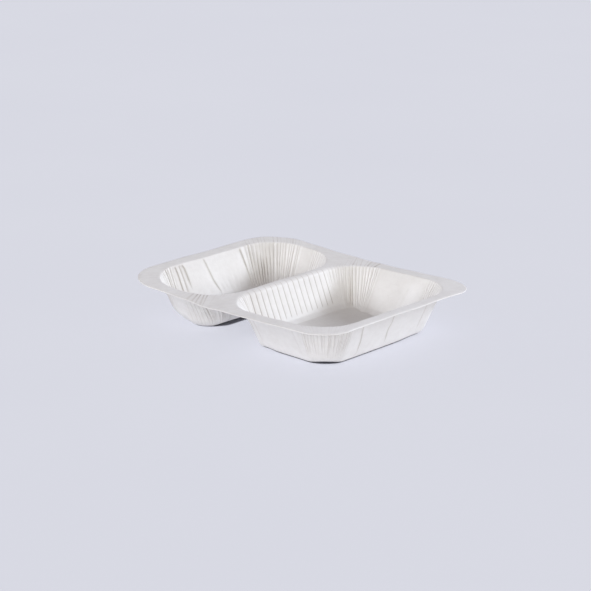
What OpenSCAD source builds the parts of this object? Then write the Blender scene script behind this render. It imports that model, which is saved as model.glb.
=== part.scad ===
// Two-compartment sealing tray, pressed from one sheet of coated board.
// One flat rim runs round both compartments and across the bridge between
// them. The sloping walls are gathered into fine pleats at every corner, and
// the two walls beside the bridge are scored with parallel lines.
// X runs along the tray (small compartment at -X, large one at +X), Y across
// it, Z up. The origin is on the underside, in the middle of the outline.

/* [Tray] */
// Overall length of the rim
tray_l = 227; // [215:0.5:240]
// Overall width of the rim
tray_w = 178; // [170:0.5:190]
// Height from the underside of the floor to the top of the rim
tray_h = 33; // [28:0.5:36]
// Thickness of the board
board_t = 0.5; // [0.4:0.05:0.7]
// Outer corner radius of the rim at the small compartment's end
rim_r_small = 39; // [30:0.5:42]
// Outer corner radius of the rim at the large compartment's end
rim_r_large = 25; // [20:0.5:36]

/* [Compartments] */
// Length of the small compartment's mouth
small_l = 82; // [78:0.5:92]
// Width of the rim at the small compartment's end
rim_small = 12.5; // [9:0.25:14]
// Width of the rim at the large compartment's end
rim_large = 10; // [8:0.25:14]
// Width of the rim along the two long sides
rim_side = 11.75; // [9:0.25:14]
// Width of the bridge between the two mouths
bridge_w = 8; // [7:0.25:10]
// Corner radius of the small compartment's mouth
mouth_r_small = 35.5; // [32:0.5:37]
// Corner radius of the large compartment's mouth
mouth_r_large = 32.5; // [31:0.5:37]
// Slope of the walls away from the vertical, in degrees
draft = 22.5; // [18:0.5:24]

/* [Folds] */
// Inside radius of the fold from the rim into the wall
lip_r = 1.6; // [1:0.1:2.2]
// Radius of the fold from wall to floor, along the straight sides
foot_r = 5; // [3:0.5:6]
// Radius of the fold from wall to floor, at the corners
foot_r_corner = 9; // [6:0.5:10]
// Half depth of the corner pleats
pleat_d = 0.35; // [0.1:0.05:0.4]
// Depth of the scored lines on the walls beside the bridge
score_d = 0.3; // [0.1:0.05:0.4]

/* [Hidden] */

// Stations round one mouth: bridge side, each corner, long side, end
n_bridge = 32;
n_corner = 26;
n_side = 6;
n_end = 6;
N = n_bridge + 4 * n_corner + 2 * n_side + n_end;

// Where each run of stations starts
i_c1 = n_bridge;
i_s1 = i_c1 + n_corner;
i_c2 = i_s1 + n_side;
i_e = i_c2 + n_corner;
i_c3 = i_e + n_end;
i_s2 = i_c3 + n_corner;
i_c4 = i_s2 + n_side;

half_w = tray_w / 2;
half_m = half_w - rim_side;
turn = 90 - draft;
bridge_x = -tray_l / 2 + rim_small + small_l + bridge_w / 2;
large_l = tray_l - rim_small - small_l - bridge_w - rim_large;
// Half length of the run that both compartments share along the bridge
bridge_y = half_m - (mouth_r_small + mouth_r_large) / 2;

// One compartment: [direction along X, cell length from the bridge line, mouth length, mouth corner radius, rim corner radius]
CELLS = [
    [-1, rim_small + small_l + bridge_w / 2, small_l, mouth_r_small, rim_r_small],
    [1, rim_large + large_l + bridge_w / 2, large_l, mouth_r_large, rim_r_large]
];

function mix(a, b, f) = a + (b - a) * f;

// A station on the mouth, before mirroring: [point, outward direction, rim edge point, corner share 0..1 or -1, score flag]
function station(c, i) =
    let (cell = CELLS[c], lc = cell[1], r = cell[3], rr = cell[4],
         x0 = bridge_w / 2, x1 = x0 + cell[2], b = half_m)
    i < i_c1 ?
        let (f = i / n_bridge)
        [[x0, mix(b - r, r - b, f)], [-1, 0], [0, mix(bridge_y, -bridge_y, f)], -1, i % 2] :
    i < i_s1 ? corner(x0 + r, r - b, r, 180, (i - i_c1) / n_corner,
        let (f = (i - i_c1) / n_corner)
        f <= 0.5 ? [0, mix(-bridge_y, -half_w, f * 2)] : [mix(0, x0 + r, f * 2 - 1), -half_w]) :
    i < i_c2 ?
        let (f = (i - i_s1) / n_side)
        [[mix(x0 + r, x1 - r, f), -b], [0, -1], [mix(x0 + r, lc - rr, f), -half_w], -1, 0] :
    i < i_e ? corner(x1 - r, r - b, r, 270, (i - i_c2) / n_corner,
        arc_point(lc - rr, rr - half_w, rr, 270 + 90 * (i - i_c2) / n_corner)) :
    i < i_c3 ?
        let (f = (i - i_e) / n_end)
        [[x1, mix(r - b, b - r, f)], [1, 0], [lc, mix(rr - half_w, half_w - rr, f)], -1, 0] :
    i < i_s2 ? corner(x1 - r, b - r, r, 0, (i - i_c3) / n_corner,
        arc_point(lc - rr, half_w - rr, rr, 90 * (i - i_c3) / n_corner)) :
    i < i_c4 ?
        let (f = (i - i_s2) / n_side)
        [[mix(x1 - r, x0 + r, f), b], [0, 1], [mix(lc - rr, x0 + r, f), half_w], -1, 0] :
    corner(x0 + r, b - r, r, 90, (i - i_c4) / n_corner,
        let (f = (i - i_c4) / n_corner)
        f <= 0.5 ? [mix(x0 + r, 0, f * 2), half_w] : [0, mix(half_w, bridge_y, f * 2 - 1)]);

function arc_point(x, y, r, a) = [x + r * cos(a), y + r * sin(a)];
function corner(x, y, r, a0, f, edge) =
    [arc_point(x, y, r, a0 + 90 * f), [cos(a0 + 90 * f), sin(a0 + 90 * f)], edge, f, 0];

// Profile of the inner face at one station: [inset from the mouth, height, turn of the face from level, share of the pleat depth]
LEVELS = 10;
function profile(k, fr) =
    let (lip_t = lip_r * tan(turn / 2), foot_t = fr * tan(turn / 2),
         in_floor = (tray_h - board_t) * tan(draft),
         wall_a = [-lip_t + lip_r * sin(turn), tray_h - lip_r + lip_r * cos(turn)],
         wall_b = [in_floor + foot_t - fr * sin(turn), board_t + fr - fr * cos(turn)])
    k == 1 ? [-lip_t, tray_h, 0, 0] :
    k == 2 ? [-lip_t + lip_r * sin(turn / 2), tray_h - lip_r + lip_r * cos(turn / 2), turn / 2, 0.15] :
    k == 3 ? [wall_a[0], wall_a[1], turn, 0.45] :
    k == 4 ? [mix(wall_a[0], wall_b[0], 0.22), mix(wall_a[1], wall_b[1], 0.22), turn, 1] :
    k == 5 ? [mix(wall_a[0], wall_b[0], 0.72), mix(wall_a[1], wall_b[1], 0.72), turn, 0.8] :
    let (a = turn * (9 - k) / 3)
    [in_floor + foot_t - fr * sin(a), board_t + fr - fr * cos(a), a, k == 6 ? 0.2 : 0];

// A point of the tray: cell, face (0 inner, 1 outer), level, station
function tray_point(c, face, k, i) =
    let (s = station(c, i), d = CELLS[c][0], f = s[3])
    k == 0 ? [bridge_x + d * s[2][0], s[2][1], tray_h - face * board_t] :
    let (w = f < 0 ? 0 : pow(sin(180 * f), 2),
         p = profile(k, mix(foot_r, foot_r_corner, w)),
         wave = f < 0 ? s[4] * score_d : pleat_d * (i % 2 == 0 ? -1 : 1) * min(1, 6 * min(f, 1 - f)),
         inset = p[0] - face * board_t * sin(p[2]) - wave * p[3],
         q = s[0] - s[1] * inset)
    [bridge_x + d * q[0], q[1], p[1] - face * board_t * cos(p[2])];

POINTS = [for (c = [0, 1]) for (face = [0, 1]) for (k = [0 : LEVELS - 1]) for (i = [0 : N - 1])
    tray_point(c, face, k, i)];
MIDDLES = [for (c = [0, 1]) for (face = [0, 1])
    [bridge_x + CELLS[c][0] * (bridge_w + CELLS[c][2]) / 2, 0, board_t * (1 - face)]];

// The bridge line belongs to both compartments, so the second one uses the points of the first
function on_bridge(i) = i <= i_c1 + n_corner / 2 || i >= i_c4 + n_corner / 2;
function index(c, face, k, i) =
    let (j = (i + N) % N)
    (((c == 1 && k == 0 && on_bridge(j) ? 0 : c) * 2 + face) * LEVELS + k) * N + j;

function flip(f, back) = back ? [for (j = [len(f) - 1 : -1 : 0]) f[j]] : f;

SKIN = [for (c = [0, 1]) for (face = [0, 1]) for (k = [0 : LEVELS - 2]) for (i = [0 : N - 1])
    let (a = index(c, face, k, i), b = index(c, face, k, i + 1),
         e = index(c, face, k + 1, i + 1), g = index(c, face, k + 1, i))
    for (t = (i % 2 == 0 ? [[a, b, e], [a, e, g]] : [[a, b, g], [b, e, g]]))
        flip(t, (c + face) % 2 == 1)];

// Each floor is a fan round its middle
FLOORS = [for (c = [0, 1]) for (face = [0, 1]) for (i = [0 : N - 1])
    flip([index(c, face, LEVELS - 1, i), index(c, face, LEVELS - 1, i + 1), 4 * LEVELS * N + c * 2 + face],
        (c + face) % 2 == 1)];

EDGE = [for (c = [0, 1]) for (i = [i_c1 + n_corner / 2 : i_c4 + n_corner / 2 - 1])
    let (a = index(c, 0, 0, i), b = index(c, 0, 0, i + 1),
         e = index(c, 1, 0, i + 1), g = index(c, 1, 0, i))
    for (t = [[a, g, b], [b, g, e]])
        flip(t, c == 1)];

module tray() {
    color([0.93, 0.92, 0.90])
        polyhedron(points = concat(POINTS, MIDDLES), faces = concat(SKIN, FLOORS, EDGE), convexity = 6);
}

tray();
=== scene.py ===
import math

import bpy
import numpy as np
from mathutils import Matrix, Vector


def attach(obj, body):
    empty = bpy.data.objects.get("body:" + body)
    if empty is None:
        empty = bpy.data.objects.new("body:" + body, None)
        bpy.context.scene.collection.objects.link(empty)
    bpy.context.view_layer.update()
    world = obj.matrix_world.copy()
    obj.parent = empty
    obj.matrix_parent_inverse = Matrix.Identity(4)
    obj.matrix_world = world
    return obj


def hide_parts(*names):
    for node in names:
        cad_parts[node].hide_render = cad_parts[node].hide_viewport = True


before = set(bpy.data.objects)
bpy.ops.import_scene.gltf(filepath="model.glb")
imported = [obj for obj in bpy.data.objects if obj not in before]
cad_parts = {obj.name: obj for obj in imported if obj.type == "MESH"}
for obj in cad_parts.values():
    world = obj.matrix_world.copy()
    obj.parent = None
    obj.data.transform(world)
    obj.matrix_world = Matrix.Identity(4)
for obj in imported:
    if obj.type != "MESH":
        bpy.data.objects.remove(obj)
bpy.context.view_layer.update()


rng = np.random.default_rng(20)

# ---------------------------------------------------------------- sizes (mm)
LENGTH, WIDTH, HEIGHT = 227.0, 178.0, 33.0
BOARD = 0.5
SMALL_L, BRIDGE = 82.0, 8.0
RIM_SMALL, RIM_LARGE, RIM_SIDE = 12.5, 10.0, 11.75
BRIDGE_X = -LENGTH / 2 + RIM_SMALL + SMALL_L + BRIDGE / 2
LARGE_L = LENGTH - RIM_SMALL - SMALL_L - BRIDGE - RIM_LARGE
HALF_W = WIDTH / 2
HALF_M = HALF_W - RIM_SIDE
DRAFT = math.radians(22.5)
TURN = math.pi / 2 - DRAFT
# direction along X, cell length, mouth length, mouth corner radius, rim corner radius
CELLS = [
    (-1.0, RIM_SMALL + SMALL_L + BRIDGE / 2, SMALL_L, 35.5, 39.0),
    (1.0, RIM_LARGE + LARGE_L + BRIDGE / 2, LARGE_L, 32.5, 25.0),
]
BRIDGE_Y = HALF_M - (CELLS[0][3] + CELLS[1][3]) / 2

# runs of stations round a mouth: bridge side, corner, long side, corner, end, corner, long side, corner
SEG_D, SEG_C1, SEG_S1, SEG_C2, SEG_E, SEG_C3, SEG_S2, SEG_C4 = range(8)
CORNERS = (SEG_C1, SEG_C2, SEG_C3, SEG_C4)


def smooth(a, b, x):
    t = np.clip((x - a) / (b - a), 0.0, 1.0)
    return t * t * (3 - 2 * t)


# ---------------------------------------------------------------- stations
N_PLEAT = 18
# scored lines on the walls beside the bridge: places along the straight run
SCORES = [0.0285 + 0.0677 * j for j in range(15)]
SCORE_PITCH = 0.0677
# places of the stations within one pleat, from one fold line to the next
RELS = (0.0, 0.07, 0.19, 0.34, 0.5, 0.66, 0.81, 0.93)
# fold lines in the outer half of the corners beside the bridge at the front
FRONT_LINES = (0.545, 0.59, 0.635, 0.675, 0.74, 0.8, 0.865, 0.935, 1.0)


def pleat_lines(gen, count):
    """Fractions along a corner where the board is folded, unevenly spaced."""
    steps = gen.uniform(0.6, 1.4, count)
    return np.concatenate([[0.0], np.cumsum(steps) / steps.sum()])


def corner_stations(lines):
    f, pleat, rel = [], [], []
    for j in range(len(lines) - 1):
        for r in RELS:
            f.append(lines[j] + (lines[j + 1] - lines[j]) * r)
            pleat.append(j)
            rel.append(r)
    return np.array(f), np.array(pleat), np.array(rel)


def score_stations():
    f = {0.0: (-1, 0.0)}
    for j, c in enumerate(SCORES):
        for mm in (-0.85, -0.4, 0.0, 0.4, 0.85):
            v = round(c + mm / 89.5, 6)
            if 0.0 < v < 0.997:
                f[v] = (j, mm)
        v = round(c + SCORE_PITCH / 2, 6)
        if v < 0.99:
            f[v] = (-1, 0.0)
    keys = sorted(f)
    return np.array(keys), np.array([f[k][0] for k in keys]), np.array([f[k][1] for k in keys])


# Creases, in order along each run: cell -> run -> (path of (depth share, place along the run), step height inside,
# width, darkness of the painted shade along the line, top, bottom)
CREASES = {
    0: {
        SEG_E: [([(0.0, 0.036), (0.24, 0.053), (0.48, 0.058), (0.7, 0.063), (1.0, 0.066)], 0.9, 1.3, 0.58, -0.1, 1.0),
                ([(0.0, 0.092), (0.235, 0.104), (0.44, 0.112), (0.72, 0.115), (1.0, 0.12)], 0.8, 1.3, 0.5, -0.1, 0.95),
                ([(0.0, 0.130), (0.11, 0.146), (0.27, 0.158), (0.515, 0.168), (0.765, 0.177), (1.0, 0.19)], 1.1, 4.5, 0.30, -0.1, 0.75),
                ([(0.0, 0.42), (0.175, 0.441), (0.31, 0.45), (0.48, 0.465), (0.63, 0.476), (0.8, 0.502), (1.0, 0.535)], 0.85, 3.2, 0.18, -0.05, 1.1),
                ([(0.0, 0.93), (0.255, 0.942), (0.44, 0.952), (0.7, 0.963), (1.0, 0.974)], 1.1, 4.0, 0.32, -0.1, 1.35)],
        SEG_C1: [([(0.0, 0.63), (0.37, 0.606), (0.58, 0.563), (0.78, 0.522), (1.0, 0.47)], -1.0, 2.5, 0.9, 0.05, 1.0)],
    },
    1: {
        SEG_S1: [([(0.0, 0.03), (0.35, 0.045), (0.56, 0.061), (0.83, 0.084), (1.0, 0.10)], -0.35, 2.5, 0.40, 0.0, 0.9),
                 ([(0.0, 0.86), (0.19, 0.868), (0.33, 0.876), (0.51, 0.89), (0.67, 0.911), (1.0, 0.94)], -0.4, 2.5, 0.42, 0.0, 0.85)],
        SEG_E: [([(0.0, 0.10), (0.25, 0.112), (0.57, 0.137), (1.0, 0.133)], -0.6, 2.5, 0.55, 0.0, 1.0),
                ([(0.0, 0.50), (0.146, 0.501), (0.36, 0.502), (0.52, 0.475), (0.8, 0.486), (1.0, 0.487)], -0.6, 2.5, 0.55, 0.02, 0.95),
                ([(0.0, 0.945), (0.58, 0.927), (0.77, 0.917), (1.0, 0.905)], -0.4, 2.5, 0.40, 0.05, 1.0)],
        SEG_S2: [([(0.0, 0.30), (0.4, 0.33), (1.0, 0.36)], 0.3, 7.0, 0.0, 0.05, 0.9)],
        SEG_C4: [([(0.0, 0.53), (1.0, 0.53)], -1.7, 3.5, 0.45, 0.12, 1.1)],
    },
}


def straight_stations(cell, seg, length):
    marks = [c[0][0][1] for c in CREASES.get(cell, {}).get(seg, [])]
    step = 1.7 if (cell, seg) == (0, SEG_E) else 3.2
    f = set(np.round(np.linspace(0, 1, max(4, int(length / step)), endpoint=False), 5))
    for m in marks:
        f = {v for v in f if abs(v - m) * length > 1.9 or v == 0}
        for d in (-1.3, -0.65, -0.3, 0.0, 0.3, 0.65, 1.3):
            v = m + d / length
            if 0.004 < v < 0.996:
                f.add(round(v, 5))
    f = np.array(sorted(f))
    return f, np.full(len(f), -1), np.zeros(len(f))


shared = {SEG_D: score_stations()}
for s in (SEG_C1, SEG_C4):
    # the middle of these corners is the corner of the cell, so a station falls there
    half = N_PLEAT // 2
    a, b = pleat_lines(rng, half), pleat_lines(rng, half)
    outer_half = FRONT_LINES if s == SEG_C1 else 0.5 + b[1:] * 0.5
    shared[s] = corner_stations(np.concatenate([a * 0.5, outer_half]))


def build_stations(cell):
    gen = np.random.default_rng(100 + cell)
    _, lc, ml, r, rr = CELLS[cell]
    out = []
    for s in range(8):
        if s in shared:
            f, p, q = shared[s]
        elif s in CORNERS:
            f, p, q = corner_stations(pleat_lines(gen, N_PLEAT))
        else:
            length = (ml - 2 * r) if s in (SEG_S1, SEG_S2) else 2 * (HALF_M - r)
            f, p, q = straight_stations(cell, s, length)
        for k in range(len(f)):
            out.append((s, f[k], p[k], q[k]))
    a = np.array(out)
    return a[:, 0].astype(int), a[:, 1], a[:, 2].astype(int), a[:, 3]


def mouth(cell, seg, f):
    """Point and outward direction of the mouth, in the cell's own axes (X away from the bridge)."""
    _, lc, ml, r, rr = CELLS[cell]
    x0, x1, b = BRIDGE / 2, BRIDGE / 2 + ml, HALF_M
    px, py, nx, ny = (np.zeros_like(f) for _ in range(4))

    def line(m, ax, ay, bx, by, n):
        px[m] = ax + (bx - ax) * f[m]
        py[m] = ay + (by - ay) * f[m]
        nx[m], ny[m] = n

    def arc(m, cx, cy, a0):
        a = np.radians(a0 + 90.0 * f[m])
        px[m], py[m] = cx + r * np.cos(a), cy + r * np.sin(a)
        nx[m], ny[m] = np.cos(a), np.sin(a)

    line(seg == SEG_D, x0, b - r, x0, r - b, (-1, 0))
    arc(seg == SEG_C1, x0 + r, r - b, 180)
    line(seg == SEG_S1, x0 + r, -b, x1 - r, -b, (0, -1))
    arc(seg == SEG_C2, x1 - r, r - b, 270)
    line(seg == SEG_E, x1, r - b, x1, b - r, (1, 0))
    arc(seg == SEG_C3, x1 - r, b - r, 0)
    line(seg == SEG_S2, x1 - r, b, x0 + r, b, (0, 1))
    arc(seg == SEG_C4, x0 + r, b - r, 90)
    return px, py, nx, ny


def rim_edge(cell, seg, f):
    _, lc, ml, r, rr = CELLS[cell]
    x0 = BRIDGE / 2
    qx, qy = np.zeros_like(f), np.zeros_like(f)

    def line(m, ax, ay, bx, by, g):
        qx[m] = ax + (bx - ax) * g[m]
        qy[m] = ay + (by - ay) * g[m]

    def arc(m, cx, cy, a0):
        a = np.radians(a0 + 90.0 * f[m])
        qx[m], qy[m] = cx + rr * np.cos(a), cy + rr * np.sin(a)

    h = HALF_W
    # past the middle of a bridge corner the lines across the rim point away from the corner's centre
    past = np.clip(np.where(seg == SEG_C1, f, 1 - f), 0.5, 1.0)
    ray = (x0 + r - (h - HALF_M + r) / np.tan(past * math.pi / 2)) / (x0 + r)
    ray = np.maximum(ray, 0.3 * (past * 2 - 1))
    line(seg == SEG_D, 0, BRIDGE_Y, 0, -BRIDGE_Y, f)
    line((seg == SEG_C1) & (f <= 0.5), 0, -BRIDGE_Y, 0, -h, f * 2)
    line((seg == SEG_C1) & (f > 0.5), 0, -h, x0 + r, -h, ray)
    line(seg == SEG_S1, x0 + r, -h, lc - rr, -h, f)
    arc(seg == SEG_C2, lc - rr, rr - h, 270)
    line(seg == SEG_E, lc, rr - h, lc, h - rr, f)
    arc(seg == SEG_C3, lc - rr, h - rr, 0)
    line(seg == SEG_S2, lc - rr, h, x0 + r, h, f)
    line((seg == SEG_C4) & (f < 0.5), 0, h, x0 + r, h, ray)
    line((seg == SEG_C4) & (f >= 0.5), 0, h, 0, BRIDGE_Y, f * 2 - 1)
    return qx, qy


# ---------------------------------------------------------------- levels
# kind, value: rim share from the edge to the lip, lip turn share, wall share, foot turn share, floor share
LEVELS = (
    [("edge", 0.0)]
    + [("rim", v) for v in (0.02, 0.06, 0.3, 0.58, 0.8, 0.93)]
    + [("lip", v) for v in (0.0, 0.25, 0.5, 0.75, 1.0)]
    + [("wall", v) for v in (0.05, 0.13, 0.23, 0.34, 0.46, 0.58, 0.69, 0.79, 0.88, 0.95)]
    + [("foot", v) for v in (0.0, 0.2, 0.4, 0.6, 0.8, 1.0)]
    + [("floor", v) for v in (0.015, 0.1, 0.3, 0.62)]
)
# height of the bridge's rim over a tray that lies flat
RAISE = 0.9


def waves(gen, count, kmin, kmax):
    return [(gen.uniform(kmin, kmax), gen.uniform(-1.6, 1.6), gen.uniform(0, 2 * math.pi), gen.uniform(0.5, 1.0)) for _ in range(count)]


def wave_sum(ws, sigma, v):
    out = np.zeros_like(sigma)
    for k, kv, ph, am in ws:
        out += am * np.sin(k * sigma + kv * v * 3.0 + ph)
    return out / math.sqrt(len(ws))


# For each cell, a value for each run: bridge side, corner, side, corner, end, corner, side, corner.
# Radius of the fold from wall to floor
FOOT = [[4.5, 9.0, [10.3, 15.2, 19.0], 24.8, [14.0, 9.0, 8.0], 8.0, 7.0, 6.0], [4.5, 4.0, [5.2, 2.6, 2.6], 3.6, [2.6, 2.6, 5.5], 14.0, [9.0, 5.0, 5.0], 5.0]]
# 0 where that fold is round, 1 where it is a flat band between two sharp bends
BAND = [[1.0, 0.3, 0.25, 0.0, 0.0, 0.0, 0.0, 0.6], [1.0, 0.0, [0.0, 0.5, 0.5], 0.5, [0.5, 0.5, 0.0], 0.0, 0.8, 0.9]]
# radius of the fold from rim to wall
LIP = [[4.0, 2.0, 1.2, 1.8, 1.0, 1.4, 1.2, 1.6], [4.0, 1.6, 1.2, 1.8, 1.0, 1.5, 1.2, 2.0]]
# how far the wall comes to lie inside a straight one, soon below the lip
PUSH = [[0.0, 1.0, 0.2, 3.1, 0.0, 0.8, 0.2, 0.4], [0.0, 6.4, [1.7, 0.8, 0.8], 0.6, [0.0, 0.0, 0.7], 1.4, 0.2, 0.2]]
# the part of that which the lip itself moves
LIP_IN = [[0.0, 0.3, 0.0, 2.0, 0.0, 0.3, 0.0, 0.3], [0.0, 1.2, 0.0, 0.3, 0.0, 1.3, 0.0, 0.0]]
# how much further in than a straight wall the wall ends at the floor
SLOPE = [[0.0] * 8, [0.0, 0.0, 0.0, 0.0, 0.0, 2.2, [4.8, 6.0, 5.2], 1.8]]
# how far a corner of the floor is drawn out to a point
SQUARE = [[0.0, 0.0, 0.0, 0.0, 0.0, 1.5, 0.0, 3.0], [0.0, 0.0, 0.0, 0.0, 0.0, 0.0, 0.0, 5.2]]
# painted light and shade inside: above 0 darker (painted shade), below 0 lighter (painted light)
INNER_SHADE = [[0.0, 0.03, 0.0, 0.1, [0.2, 0.0, 0.0], 0.05, 0.11, 0.05], [[-0.1, -0.12, 0.2], 0.12, 0.0, 0.0, 0.0, 0.0, [0.0, 0.08, 0.12], 0.03]]
# painted shade on each floor, darker in the large compartment
FLOOR_SHADE = (0.0, 0.08)
# how far the edge of the floor is pressed up above its middle
LIFT = [[[0.8, 3.2, 3.6], 1.0, 0.1, 0.0, 0.15, 0.2, 0.15, 0.5], [1.0, 0.4, 0.5, 1.8, 0.5, 0.3, 0.2, 0.4]]


def ease(table, seg, f):
    """Constant along the straight runs, or from one end over the middle to the other, easing from one to the next through the corners."""
    out = np.zeros_like(f)
    for s in range(8):
        m = seg == s
        if s in CORNERS:
            a, b = np.ravel(table[s - 1])[-1], np.ravel(table[(s + 1) % 8])[0]
            out[m] = a + (b - a) * smooth(0, 1, f[m]) + (table[s] - (a + b) / 2) * np.sin(math.pi * f[m]) ** 1.25
        else:
            ends = np.ravel(table[s])
            mid = ends[len(ends) // 2]
            out[m] = mid + (ends[0] - mid) * (1 - smooth(0, 0.3, f[m])) + (ends[-1] - mid) * smooth(0.7, 1, f[m])
    return out


def settle(x, y, z):
    """The lie of the board: rim ends stand a little higher than the bridge, and the rim is not quite flat."""
    up = -1.4 + RAISE + (np.sqrt(x * x + 625.0) - 25.0) * math.tan(math.radians(1.9))
    up += -1.0 * np.exp(-(((x + 15) / 15) ** 2 + ((y + 89) / 14) ** 2))
    up += -1.3 * np.exp(-(((x - 112) / 24) ** 2 + ((y - 88) / 30) ** 2))
    up += 0.8 * np.exp(-(((x + 100) / 30) ** 2 + ((y - 80) / 30) ** 2))
    up += 0.18 * np.sin(x * 0.085 + 1.2) * np.sin(y * 0.07 + 0.4) + 0.12 * np.sin(x * 0.19 + y * 0.13)
    return np.clip(z / HEIGHT, 0, 1) * up


def on_bridge(seg, f):
    return (seg == SEG_D) | ((seg == SEG_C1) & (f <= 0.5 + 1e-9)) | ((seg == SEG_C4) & (f >= 0.5 - 1e-9))


def cell_grid(cell):
    """Points of the inner and the outer face, [level, station, xyz], with the values of painted light and shade for the
    material.
    """
    gen = np.random.default_rng(300 + cell)
    d, lc, ml, r, rr = CELLS[cell]
    seg, f0, pleat, rel = build_stations(cell)
    n = len(seg)
    is_corner = np.isin(seg, CORNERS)
    on_d = seg == SEG_D
    seg_len = np.where(is_corner, r * math.pi / 2, np.where((seg == SEG_S1) | (seg == SEG_S2), ml - 2 * r, 2 * (HALF_M - r)))
    start = np.zeros(8)
    total = 0.0
    for s in range(8):
        start[s] = total
        total += seg_len[seg == s][0]
    sigma0 = start[seg] + f0 * seg_len

    # every pleat has its own depth, steep side, reach down the wall, sideways drift and trace on the rim
    depth, peak = gen.uniform(0.45, 1.3, (8, 64)), gen.uniform(0.25, 0.75, (8, 64))
    reach, trace = gen.uniform(0.72, 1.02, (8, 64)), gen.uniform(0.15, 0.7, (8, 64))
    drift, valley = gen.uniform(-0.7, 0.7, (8, 64)), gen.uniform(0.2, 0.7, (8, 64))
    # how strongly each pleat's fold lines and valleys are painted with shade
    shade_share = np.full((8, 64), 0.6)
    # where down the wall a pleat starts, and how strong the painted highlight on its ridge is
    begin, highlight = np.full((8, 64), -0.5), np.full((8, 64), 0.3)
    if cell == 0:
        # bold folds where the end wall runs into its corners, and on the rim at the front
        depth[SEG_C3] = np.maximum(depth[SEG_C3], 0.6) * 1.9
        depth[SEG_C3, 0:4] = (1.9, 2.6, 1.7, 2.3)
        depth[SEG_C3, 9:18] *= 0.7
        begin[SEG_C3, 2:8] = (0.2, 0.4, 0.5, 0.5, 0.4, 0.15)
        # little painted shade and a strong painted highlight on the later pleats of this corner
        shade_share[SEG_C3, 7:64], highlight[SEG_C3, 8:64] = 0.1, 0.9
        depth[SEG_C2, 11:18] = (1.0, 1.5, 2.0, 1.2, 2.0, 1.5, 1.8)
        trace[SEG_C1] *= 0.6
        trace[SEG_C1, 10:15] = (1.3, 1.4, 1.4, 1.2, 0.9)
        reach[SEG_C1], reach[SEG_C2], reach[SEG_C3] = reach[SEG_C1] + 0.35, reach[SEG_C2] + 0.4, reach[SEG_C3] + 0.35
        trace[SEG_C3] *= 1.3
    else:
        depth[SEG_C4, 0:9] = np.maximum(depth[SEG_C4, 0:9], 0.7) * 1.5
        depth[SEG_C4, 9:] *= 0.9
        # little painted shade and a strong painted highlight on the first half of the pleats of this corner
        shade_share[SEG_C4, 0:9], highlight[SEG_C4, 0:9] = 0.1, 0.9
        shade_share[SEG_C4, 10:18] = 0.3
        reach[SEG_C4] += 0.25
        reach[SEG_C4, 11:18] = (0.7, 0.5, 0.55, 0.4, 0.5, 0.45, 0.6)
        reach[SEG_C4, 7:10] += 0.3
        trace[SEG_C4, 2:11] = trace[SEG_C4, 2:11] * 1.4 + 0.25
        depth[SEG_C2] = np.clip(depth[SEG_C2], 0.5, 1.1)
        depth[SEG_C3] *= 0.5
        depth[SEG_C3, 9:18] *= 2.2
        shade_share[SEG_C3] = 0.35
    pj = np.maximum(pleat, 0)
    p_depth, p_peak, p_reach, p_shade, p_begin, p_highlight = (t[seg, pj] for t in (depth, peak, reach, shade_share, begin, highlight))
    # the fold line next to each station
    p_trace = trace[seg, np.where(rel < 0.5, pj, pj + 1)]
    p_drift = drift[seg, pj] * (1 - rel) + drift[seg, pj + 1] * rel
    p_valley = valley[seg, pj] * (1 - rel) + valley[seg, pj + 1] * rel
    edge_fade = np.where(is_corner, np.clip(9 * np.minimum(f0, 1 - f0) + 0.2, 0, 1), 0)
    # a pleat is a round ridge between two sharp fold lines
    turn_at = np.where(rel < p_peak, 0.5 * rel / p_peak, 0.5 + 0.5 * (rel - p_peak) / (1 - p_peak))
    crest = np.where(is_corner, np.sin(math.pi * turn_at), 0.0)
    ridge_shape = crest - p_valley
    knots = list(RELS) + [1.0]
    groove = np.interp(rel, knots, [1.0, 0.4, 0.0, 0.0, 0.0, 0.0, 0.0, 0.4, 1.0])
    # a bold trace on the rim is wider
    wide = np.interp(rel, knots, [1.0, 0.85, 0.4, 0.1, 0.0, 0.1, 0.4, 0.85, 1.0])
    score = np.where(on_d & (pleat >= 0), np.interp(np.abs(rel), [0.0, 0.4, 0.85], [1.0, 0.35, -0.08]), 0.0)
    w_wall, w_foot, w_fine = waves(gen, 5, 0.05, 0.16), waves(gen, 6, 0.22, 0.6), waves(gen, 6, 0.5, 1.1)
    w_wrinkle = waves(gen, 7, 0.5, 1.5)

    lip_r, push, lip_in = ease(LIP[cell], seg, f0), ease(PUSH[cell], seg, f0), ease(LIP_IN[cell], seg, f0)
    lip_t = lip_r * math.tan(TURN / 2)
    square = np.array(SQUARE[cell])[seg] * np.sin(math.pi * f0) ** 4
    in_floor = (HEIGHT - BOARD) * math.tan(DRAFT) + push - square + ease(SLOPE[cell], seg, f0)
    fr, band, lift = ease(FOOT[cell], seg, f0), ease(BAND[cell], seg, f0), ease(LIFT[cell], seg, f0)
    inner_shade = ease(INNER_SHADE[cell], seg, f0)
    foot_t = fr * math.tan(TURN / 2)
    wall_a = (-lip_t + lip_r * math.sin(TURN), HEIGHT - lip_r + lip_r * math.cos(TURN))
    wall_b = (in_floor + foot_t - fr * math.sin(TURN), BOARD + fr - fr * math.cos(TURN))
    mid = np.array([BRIDGE / 2 + ml / 2, 0.0])
    qx, qy = rim_edge(cell, seg, f0)
    mx, my, mnx, mny = mouth(cell, seg, f0)
    rim_w = np.hypot(qx - mx, qy - my)
    shared_edge = on_bridge(seg, f0)

    inner, outer, shade_paint = [], [], []
    for kind, v in LEVELS:
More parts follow.
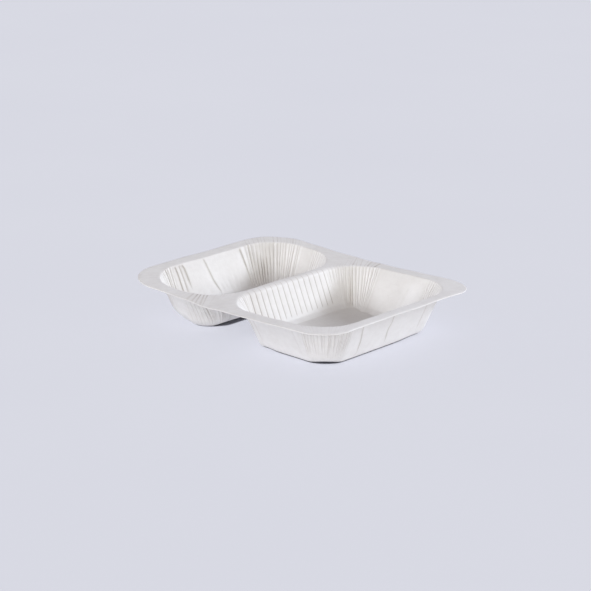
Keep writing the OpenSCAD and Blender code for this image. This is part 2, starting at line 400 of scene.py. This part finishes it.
        # depth share on the wall: 0 at the lip, 1 at the foot
        dv = v if kind == "wall" else 1.0 if kind in ("foot", "floor") else 0.0
        shift, ridge, line = np.zeros(n), np.zeros(n), np.zeros(n)
        for s, items in CREASES.get(cell, {}).items():
            m = seg == s
            bases, moves = [0.0], [0.0]
            for path, height, width, dark, top, bottom in items:
                base = path[0][1]
                if s in CORNERS:
                    cand = np.where(m & (rel == 0))[0]
                    base = f0[cand[np.argmin(np.abs(f0[cand] - base))]]
                away = (f0 - base) * seg_len
                bases.append(base)
                moves.append((np.interp(dv, [q[0] for q in path], [q[1] for q in path]) - path[0][1]) * seg_len[m][0])
                if kind in ("wall", "foot"):
                    env = float(smooth(top - 0.02, top + 0.08, np.array(dv)) * (1 - smooth(bottom - 0.3, bottom + 0.05, np.array(dv))))
                    if kind == "foot":
                        env *= 1 - v
                    shape = -0.35 * min(1.0, dark / 0.4) * np.exp(-np.abs(away) / 0.45) + 0.5 * np.clip(away / 0.65, -1, 1) * np.exp(-np.abs(away) / width)
                    shape = shape * np.clip(np.minimum(f0, 1 - f0) * seg_len / 2.0, 0, 1)
                    ridge = np.where(m, ridge + env * height * shape, ridge)
                    # painted shade along the crease line
                    line = np.where(m, np.maximum(line, env * dark * np.exp(-np.abs(away) / 0.35)), line)
            shift[m] = np.interp(f0[m], bases + [1.0], moves + [0.0])
        if kind in ("wall", "foot"):
            shift = shift + np.where(is_corner, p_drift * dv * edge_fade, 0.0)
        f = np.clip(f0 + shift / seg_len, 0.0, 1.0)
        px, py, nx, ny = mouth(cell, seg, f)
        if kind in ("edge", "rim"):
            lx, ly = px + nx * (lip_t - lip_in), py + ny * (lip_t - lip_in)
            bx, by = qx + (lx - qx) * v, qy + (ly - qy) * v
            # the outermost strip of the rim is pressed down a little
            out = np.where(shared_edge, HALF_W - np.abs(by), v * rim_w)
            bz, tau = HEIGHT - 0.42 * (1 - smooth(-0.25, 0.85, out)), np.zeros(n)
        else:
            if kind == "lip":
                a = TURN * v
                inset, bz, tau = lip_in - lip_t + lip_r * math.sin(a), HEIGHT - lip_r + lip_r * math.cos(a), np.full(n, a)
            elif kind == "wall":
                inset = wall_a[0] + lip_in + (wall_b[0] - push + square - wall_a[0]) * v
                inset = inset + (push - lip_in) * (1 - (1 - v) ** 3) - square * v ** 1.4
                bz = wall_a[1] + (wall_b[1] - wall_a[1]) * v
                tau = np.full(n, TURN)
            else:
                a = TURN * (1 - v) if kind == "foot" else 0.0
                inset, bz, tau = in_floor + foot_t - fr * math.sin(a), BOARD + fr - fr * math.cos(a), np.full(n, a)
                if kind == "foot":
                    # the flat band runs straight from the end of the wall to the floor
                    t = float(np.interp(v, [0.0, 0.2, 0.4, 0.6, 0.8, 1.0], [0.0, 0.1, 0.35, 0.65, 0.9, 1.0]))
                    inset = inset + band * (wall_b[0] + (in_floor + foot_t - wall_b[0]) * t - inset)
                    bz = bz + band * (wall_b[1] + (BOARD - wall_b[1]) * t - bz)
                    flat = TURN if v == 0 else 0.0 if v == 1 else TURN / 2
                    tau = tau + band * (flat - tau)
            bx, by = px - nx * inset, py - ny * inset
            if kind == "floor":
                bx, by = bx + (mid[0] - bx) * v, by + (mid[1] - by) * v

        # pleats and scored lines
        mark, valley_shade, highlight_env = groove, 0.0, 0.0
        if kind in ("edge", "rim"):
            away = (1 - v) * rim_w
            env = 0.10 * np.exp(-away / 2.0)
            line_env = (0.45 + 0.75 * np.exp(-away / 4.0)) * p_trace * (0.1 if v < 0.03 else 1.0)
            mark = np.where(p_trace > 0.85, wide, groove)
            s_env = 0.25 * np.exp(-away / 2.5)
        elif kind == "lip":
            env, line_env, s_env = np.full(n, 0.14 + 0.5 * v), np.maximum(0.4 + 0.4 * v, np.minimum(p_trace, 1.0)), 0.3 + 0.6 * v
            valley_shade = 0.12 * v
            highlight_env = 0.2 + 0.6 * v
            late = np.where(p_begin > -0.3, 0.25, 1.0)
            env, line_env, valley_shade = env * late, line_env * late, valley_shade * late
        elif kind == "wall":
            env = (0.7 + 0.3 * smooth(0.02, 0.2, np.array(v))) * (1 - 0.8 * smooth(p_reach - 0.4, p_reach, v))
            line_env = 1 - smooth(p_reach - 0.25, p_reach + 0.02, v)
            s_env = float(1 - smooth(0.87, 0.95, np.array(v)))
            late = 0.25 + 0.75 * smooth(p_begin - 0.25, p_begin + 0.15, v)
            env, line_env = env * late, line_env * late
            valley_shade, highlight_env = 0.14 * env, np.minimum(env, line_env)
        else:
            fade = float(1 - smooth(0.35, 1.0, np.array(v))) if kind == "foot" else 0.0
            env = (1 - 0.8 * smooth(p_reach - 0.4, p_reach, 1.0)) * fade
            line_env = (1 - smooth(p_reach - 0.25, p_reach + 0.02, 1.0)) * fade
            s_env = 0.0
            valley_shade, highlight_env = 0.14 * env, env
        if kind not in ("edge", "rim"):
            line_env, valley_shade = p_shade * line_env, p_shade * valley_shade
        amp = 0.75 * p_depth * edge_fade
        if kind in ("wall", "foot"):
            # the pleats get narrower towards the floor
            amp = amp * np.clip(1.25 * (r - inset) / r, 0.0, 1.0)
        u = np.where(is_corner, amp * env * ridge_shape, 0.0)
        cut = np.where(is_corner, 0.07 * mark * line_env * edge_fade, 0.0)
        g_in, g_out = -cut, cut
        # painted shade: fold lines and the traces on the rim are darkened, partly the real darker line of a pressed
        # fold, and the valleys between pleats are painted darker (valley_shade)
        bold = edge_fade * np.clip(0.35 + 0.5 * p_depth, 0, 1)
        shade_in = np.where(is_corner, np.maximum(mark * line_env, valley_shade * (1 - crest)) * bold, 0.0)
        shade_out = np.where(is_corner, np.maximum(mark * line_env, valley_shade * crest) * bold, 0.0)
        # painted highlight: the crests of the pleats are painted lighter
        ridge_highlight = np.where(is_corner, p_highlight * highlight_env * crest ** 2 * edge_fade, 0.0)
        # the scored lines: a shallow groove with painted shade along it, partly the real darker line of the pressed
        # score
        g_in = np.where(on_d, -0.18 * score * s_env, g_in)
        g_out = np.where(on_d, 0.06 * score * s_env, g_out)
        shade_in = np.where(on_d, np.clip(score, 0, 1) * s_env, shade_in)
        shade_out = np.where(on_d, 0.3 * np.clip(score, 0, 1) * s_env, shade_out)

        # soft unevenness of the board
        soft = 1.0 if cell == 0 else 0.45
        if kind == "wall":
            bow = math.sin(math.pi * v)
            u = u + 0.20 * bow * wave_sum(w_wall, sigma0, v) + 0.12 * soft * smooth(0.6, 1.0, np.array(v)) * wave_sum(w_foot, sigma0, v)
        elif kind == "foot":
            u = u + 0.16 * soft * (1 - v) * (1 - band) * wave_sum(w_foot, sigma0, 1.0 + v * 0.5)
        elif kind == "lip":
            u = u + 0.04 * wave_sum(w_fine, sigma0, 0.0)
        elif kind == "floor":
            u = u + 0.10 * soft * v * (1 - v) * wave_sum(w_foot, sigma0, 1.5 + v)
        if cell == 0 and kind in ("wall", "foot"):
            # fine wrinkles where the end wall of the small compartment runs out into its floor
            deep = float(smooth(0.55, 0.9, np.array(v))) if kind == "wall" else 1.0 - v
            here = np.where(seg == SEG_E, 0.25 + 0.75 * smooth(0.4, 0.75, f0), 0.0) * np.clip(6 * np.minimum(f0, 1 - f0), 0, 1)
            u = u + 0.24 * deep * here * wave_sum(w_wrinkle, sigma0, 2.5 * (dv + (v if kind == "foot" else 0)))
        u = u + ridge
        shade_in, shade_out = np.maximum(shade_in, line), np.maximum(shade_out, line)
        if kind in ("wall", "foot"):
            # painted shade low down where a corner is folded deepest
            run, where, span, corner_shade = (SEG_C3, 0.24, 0.13, 0.3) if cell == 0 else (SEG_C4, 0.56, 0.1, 0.34)
            low = float(smooth(0.25, 0.85, np.array(dv))) * (1 - v ** 2 if kind == "foot" else 1.0)
            shade_in = shade_in + np.where(seg == run, corner_shade * low * np.exp(-((f0 - where) / span) ** 2), 0.0)
            if cell == 1:
                # and painted light on the far wall near its end corner, which makes it lighter there
                shade_in = shade_in - np.where(seg == SEG_S2, 0.42 * np.exp(-((f0 - 0.2) / 0.14) ** 2), 0.0) * (1 - v if kind == "foot" else float(smooth(0.05, 0.4, np.array(v))))

        # painted shade on the floors
        if kind in ("foot", "floor"):
            shade_in = shade_in + FLOOR_SHADE[cell] * (v ** 2 if kind == "foot" else 1.0)
        # painted light and shade along the walls inside
        if kind in ("lip", "wall", "foot"):
            shade_in = shade_in + inner_shade * (v if kind == "lip" else 1 - v if kind == "foot" else 1.0)
        if kind in ("edge", "rim", "lip"):
            # painted light: the rim is lighter towards the large end
            shade_in = shade_in - 0.2 * smooth(30.0, 100.0, BRIDGE_X + d * bx) * (1 - v if kind == "lip" else 1.0)

        st, ct = np.sin(tau), np.cos(tau)

        def place(off):
            return np.stack([BRIDGE_X + d * (bx - nx * st * off), by - ny * st * off, bz + ct * off], axis=1)

        a_in, a_out = place(u + g_in), place(u - BOARD + g_out)
        if kind == "wall":
            gap = lift * v ** 3
        elif kind == "foot":
            gap = lift
        elif kind == "floor":
            gap = lift * (1 - float(smooth(0.0, 0.6, np.array(v))))
        else:
            gap = 0.0
        a_in[:, 2] += gap
        a_out[:, 2] += gap
        inner.append(a_in)
        outer.append(a_out)
        shade_paint.append((shade_in - ridge_highlight, shade_out))
    inner, outer, shade_paint = np.array(inner), np.array(outer), np.array(shade_paint)
    for arr in (inner, outer):
        arr[:, :, 2] += settle(arr[:, :, 0], arr[:, :, 1], arr[:, :, 2])
        arr[:, :, 2] = np.maximum(arr[:, :, 2], 0.0)
    centre_in = np.array([BRIDGE_X + d * mid[0], 0.0, BOARD])
    centre_out = np.array([BRIDGE_X + d * mid[0], 0.0, 0.0])
    return seg, f0, inner, outer, shade_paint, centre_in, centre_out


# ---------------------------------------------------------------- mesh
def build_tray():
    verts, side, mark, faces, flat, base = [], [], [], [], [], []
    grids = [cell_grid(0), cell_grid(1)]
    levels = len(LEVELS)
    low = LEVELS.index(("foot", 0.8))

    # number the stations on the bridge, which both cells share
    bridge_ids = {}
    index = []
    for c, (seg, f, inner, outer, shade_paint, ci, co) in enumerate(grids):
        n = len(seg)
        shared_mask = on_bridge(seg, f)
        ids = np.zeros((2, levels, n), int)
        for face, arr in enumerate((inner, outer)):
            for k in range(levels):
                for i in range(n):
                    if k == 0 and shared_mask[i]:
                        key = (face, int(seg[i]), round(float(f[i]), 6))
                        if key in bridge_ids:
                            ids[face, k, i] = bridge_ids[key]
                            continue
                        bridge_ids[key] = len(verts)
                    verts.append(arr[k, i])
                    ids[face, k, i] = len(verts) - 1
                    side.append(1.0 - face)
                    mark.append(float(shade_paint[k, face, i]))
        index.append((ids, shared_mask))
    for c, (seg, f, inner, outer, shade_paint, ci, co) in enumerate(grids):
        ids, shared_mask = index[c]
        n = len(seg)
        flip = c == 0
        centres = []
        for face, p in enumerate((ci, co)):
            verts.append(p)
            side.append(1.0 - face)
            mark.append(FLOOR_SHADE[c] * (1 - face))
            centres.append(len(verts) - 1)

        def add(q, back, is_flat=False):
            faces.append(tuple(reversed(q)) if back else tuple(q))
            flat.append(is_flat)

        for face in (0, 1):
            back = flip != (face == 1)
            for k in range(levels - 1):
                a, b = ids[face, k], ids[face, k + 1]
                for i in range(n):
                    j = (i + 1) % n
                    add((a[i], a[j], b[j], b[i]), back)
                    if face == 1 and k >= low:
                        base.append((a[i], a[j], b[j], b[i]))
            last = ids[face, levels - 1]
            for i in range(n):
                add((last[i], last[(i + 1) % n], centres[face]), back)
                if face == 1:
                    base.append((last[i], last[(i + 1) % n], centres[face]))
        # the cut edge of the board, which stays sharp
        for i in range(n):
            j = (i + 1) % n
            if shared_mask[i] and shared_mask[j]:
                continue
            add((ids[0, 0, i], ids[1, 0, i], ids[1, 0, j], ids[0, 0, j]), flip, True)
    mesh = bpy.data.meshes.new("tray_board")
    mesh.from_pydata([tuple(float(c) * 0.001 for c in v) for v in verts], [], faces)
    at = mesh.attributes.new("inside", "FLOAT", "POINT")
    at.data.foreach_set("value", np.array(side, np.float32))
    # painted light and shade per point: above 0 painted shade, below 0 painted light
    at = mesh.attributes.new("fold", "FLOAT", "POINT")
    at.data.foreach_set("value", np.array(mark, np.float32))
    mesh.polygons.foreach_set("use_smooth", np.logical_not(np.array(flat)))
    mesh.update()
    ob = bpy.data.objects.new("tray_board", mesh)
    bpy.context.scene.collection.objects.link(ob)
    return ob, base


# ---------------------------------------------------------------- materials
def new_material(name):
    mat = bpy.data.materials.new(name)
    mat.use_nodes = True
    nt = mat.node_tree
    nt.nodes.clear()
    out = nt.nodes.new("ShaderNodeOutputMaterial")
    bsdf = nt.nodes.new("ShaderNodeBsdfPrincipled")
    nt.links.new(bsdf.outputs[0], out.inputs[0])
    return mat, nt, bsdf


def ramp(nt, fac, stops):
    r = nt.nodes.new("ShaderNodeValToRGB")
    while len(r.color_ramp.elements) < len(stops):
        r.color_ramp.elements.new(0.5)
    for e, (p, c) in zip(r.color_ramp.elements, stops):
        e.position = p
        e.color = (c[0], c[1], c[2], 1.0)
    nt.links.new(fac, r.inputs[0])
    return r.outputs[0]


def noise(nt, vec, scale, detail=4.0, rough=0.55):
    t = nt.nodes.new("ShaderNodeTexNoise")
    t.inputs["Scale"].default_value = scale
    t.inputs["Detail"].default_value = detail
    t.inputs["Roughness"].default_value = rough
    nt.links.new(vec, t.inputs["Vector"])
    return t.outputs["Fac"]


def mix_colour(nt, fac, a, b, blend="MIX"):
    m = nt.nodes.new("ShaderNodeMix")
    m.data_type = "RGBA"
    m.blend_type = blend
    for sock, val in ((m.inputs[0], fac), (m.inputs[6], a), (m.inputs[7], b)):
        if isinstance(val, (int, float)):
            sock.default_value = val
        elif isinstance(val, tuple):
            sock.default_value = (val[0], val[1], val[2], 1.0)
        else:
            nt.links.new(val, sock)
    return m.outputs[2]


def math_node(nt, op, a, b):
    m = nt.nodes.new("ShaderNodeMath")
    m.operation = op
    for sock, val in ((m.inputs[0], a), (m.inputs[1], b)):
        if isinstance(val, (int, float)):
            sock.default_value = val
        else:
            nt.links.new(val, sock)
    return m.outputs[0]


def board_material():
    mat, nt, bsdf = new_material("coated_board")
    tc = nt.nodes.new("ShaderNodeTexCoord")
    vec = tc.outputs["Object"]
    inside = nt.nodes.new("ShaderNodeAttribute")
    inside.attribute_name = "inside"
    fold = nt.nodes.new("ShaderNodeAttribute")
    fold.attribute_name = "fold"
    cloud = noise(nt, vec, 38.0, 3.0)
    fibre = noise(nt, vec, 900.0, 3.0, 0.65)
    mottle = noise(nt, vec, 210.0, 4.0, 0.6)
    warm = ramp(nt, cloud, [(0.3, (0.772, 0.757, 0.734)), (0.7, (0.806, 0.794, 0.774))])
    cool = ramp(nt, cloud, [(0.3, (0.800, 0.784, 0.760)), (0.7, (0.834, 0.820, 0.800))])
    base = mix_colour(nt, inside.outputs["Fac"], cool, warm)
    speck = ramp(nt, mottle, [(0.30, (0.95, 0.945, 0.94)), (0.62, (1.0, 1.0, 1.0))])
    base = mix_colour(nt, 1.0, base, speck, "MULTIPLY")
    # painted shade: values above 0 darken the colour, towards brown
    shade = ramp(nt, fold.outputs["Fac"], [(0.0, (1.0, 1.0, 1.0)), (0.5, (0.82, 0.795, 0.77)), (1.0, (0.48, 0.445, 0.42))])
    base = mix_colour(nt, 1.0, base, shade, "MULTIPLY")
    # values below 0 are painted light: there the colour is mixed towards white
    painted_light = math_node(nt, "MAXIMUM", math_node(nt, "MULTIPLY", fold.outputs["Fac"], -1.0), 0.0)
    base = mix_colour(nt, painted_light, base, (0.955, 0.95, 0.945))
    nt.links.new(base, bsdf.inputs["Base Color"])
    gloss = nt.nodes.new("ShaderNodeMapRange")
    nt.links.new(mottle, gloss.inputs["Value"])
    gloss.inputs["From Min"].default_value = 0.3
    gloss.inputs["From Max"].default_value = 0.7
    gloss.inputs["To Min"].default_value = 0.42
    gloss.inputs["To Max"].default_value = 0.60
    nt.links.new(gloss.outputs[0], bsdf.inputs["Roughness"])
    bsdf.inputs["Specular IOR Level"].default_value = 0.35
    h = math_node(nt, "ADD", math_node(nt, "MULTIPLY", mottle, 0.75), math_node(nt, "MULTIPLY", fibre, 0.25))
    bump = nt.nodes.new("ShaderNodeBump")
    bump.inputs["Strength"].default_value = 0.35
    bump.inputs["Distance"].default_value = 0.00035
    nt.links.new(h, bump.inputs["Height"])
    nt.links.new(bump.outputs[0], bsdf.inputs["Normal"])
    return mat


def floor_material():
    mat, nt, bsdf = new_material("studio_floor")
    tc = nt.nodes.new("ShaderNodeTexCoord")
    n = noise(nt, tc.outputs["Object"], 3.0, 2.0)
    col = ramp(nt, n, [(0.3, (0.417, 0.421, 0.470)), (0.7, (0.423, 0.427, 0.475))])
    nt.links.new(col, bsdf.inputs["Base Color"])
    bsdf.inputs["Roughness"].default_value = 0.9
    bsdf.inputs["Specular IOR Level"].default_value = 0.0
    return mat


# ---------------------------------------------------------------- the tray
tray, tray_base = build_tray()
tray.data.materials.append(board_material())
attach(tray, "root")
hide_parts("tray")

# ---------------------------------------------------------------- stage
bpy.ops.mesh.primitive_plane_add(size=80.0, location=(0, 0, 0))
floor = bpy.context.object
floor.name = "floor"
floor.data.materials.append(floor_material())

world = bpy.data.worlds.new("studio")
bpy.context.scene.world = world
world.use_nodes = True
bg = world.node_tree.nodes["Background"]
bg.inputs["Color"].default_value = (1.12, 0.97, 0.90, 1.0)
bg.inputs["Strength"].default_value = 0.0535
# what lies past the floor's edge is as pale as the floor
beyond = world.node_tree.nodes.new("ShaderNodeBackground")
beyond.inputs["Color"].default_value = (0.694, 0.701, 0.783, 1.0)
ray = world.node_tree.nodes.new("ShaderNodeLightPath")
pick = world.node_tree.nodes.new("ShaderNodeMixShader")
world.node_tree.links.new(ray.outputs["Is Camera Ray"], pick.inputs[0])
world.node_tree.links.new(bg.outputs[0], pick.inputs[1])
world.node_tree.links.new(beyond.outputs[0], pick.inputs[2])
world.node_tree.links.new(pick.outputs[0], world.node_tree.nodes["World Output"].inputs[0])


def lit_only(name, obj):
    col = bpy.data.collections.new(name)
    col.objects.link(obj)
    return col


def contact_shell(obj, polygons):
    """The underside of the tray, for the stage light that lights the floor."""
    index, points, faces = {}, [], []
    for poly in polygons:
        for i in poly:
            if i not in index:
                index[i] = len(points)
                points.append(tuple(obj.data.vertices[int(i)].co))
        faces.append([index[i] for i in poly])
    shell = bpy.data.meshes.new("contact")
    shell.from_pydata(points, [], faces)
    ob = bpy.data.objects.new("contact", shell)
    bpy.context.scene.collection.objects.link(ob)
    ob.visible_camera = ob.visible_diffuse = ob.visible_glossy = ob.visible_transmission = False
    return ob


# The studio floor glows up to the tray: its main light is only stopped where the tray stands on it
contact = contact_shell(tray, tray_base)
TRAY_ONLY, FLOOR_ONLY, STANDING = lit_only("lit_tray", tray), lit_only("lit_floor", floor), lit_only("standing", contact)


def sun(name, azimuth, elevation, strength, spread, colour, receivers, blockers=None):
    """A soft distant light; azimuth as for the camera. Strength 1 lights a white face square to it to full white."""
    light = bpy.data.lights.new(name, "SUN")
    light.energy = strength * math.pi
    light.angle = math.radians(spread)
    light.color = colour
    ob = bpy.data.objects.new(name, light)
    a, e = math.radians(azimuth), math.radians(elevation)
    to = Vector((math.sin(a) * math.cos(e), -math.cos(a) * math.cos(e), math.sin(e)))
    ob.rotation_euler = to.to_track_quat("Z", "Y").to_euler()
    ob.location = to * 3.0
    bpy.context.scene.collection.objects.link(ob)
    ob.light_linking.receiver_collection = receivers
    if blockers:
        ob.light_linking.blocker_collection = blockers
    return ob


sun("sky", 0.0, 90.0, 0.182, 180.0, (1.069, 0.973, 1.067), TRAY_ONLY)
sun("key", 145.0, 24.0, 0.475, 14.0, (0.943, 1.006, 1.109), TRAY_ONLY)
sun("rear", 165.0, 22.0, 0.25, 14.0, (0.942, 1.003, 1.137), TRAY_ONLY)
sun("fill", -60.0, 28.0, 0.33, 20.0, (0.961, 1.003, 1.086), TRAY_ONLY)
sun("front", -8.0, 18.0, 0.311, 20.0, (0.99, 1.002, 1.008), TRAY_ONLY)
sun("side", 65.0, 18.0, 0.345, 20.0, (0.999, 1.003, 0.971), TRAY_ONLY)
sun("floor_sky", 0.0, 90.0, 0.452, 180.0, (0.996, 0.999, 1.024), FLOOR_ONLY)
sun("floor_glow", 43.4, 74.0, 1.18, 12.0, (0.994, 1.003, 0.986), FLOOR_ONLY, STANDING)

# ---------------------------------------------------------------- camera
AZ, EL = math.radians(43.4), math.radians(17.6)
DIST, TX, TY, FOCAL = 1475.0, 1.3, 9.15, 1857.5
back = Vector((math.sin(AZ) * math.cos(EL), -math.cos(AZ) * math.cos(EL), math.sin(EL)))
right = Vector((math.cos(AZ), math.sin(AZ), 0.0))
up = back.cross(right)
eye = (Vector((0, 0, 31.6 + RAISE)) - TX * right - TY * up + DIST * back) * 0.001
cam_data = bpy.data.cameras.new("camera")
cam_data.sensor_width = 36.0
cam_data.lens = FOCAL / 591.0 * 36.0
cam_data.clip_start = 0.05
cam_data.clip_end = 50.0
cam = bpy.data.objects.new("camera", cam_data)
m = Matrix.Identity(4)
for row in range(3):
    m[row][0], m[row][1], m[row][2], m[row][3] = right[row], up[row], back[row], eye[row]
cam.matrix_world = m
bpy.context.scene.collection.objects.link(cam)
bpy.context.scene.camera = cam

view = bpy.context.scene.view_settings
view.view_transform = "Standard"
view.look = "None"
view.exposure = 0.0
view.gamma = 1.0
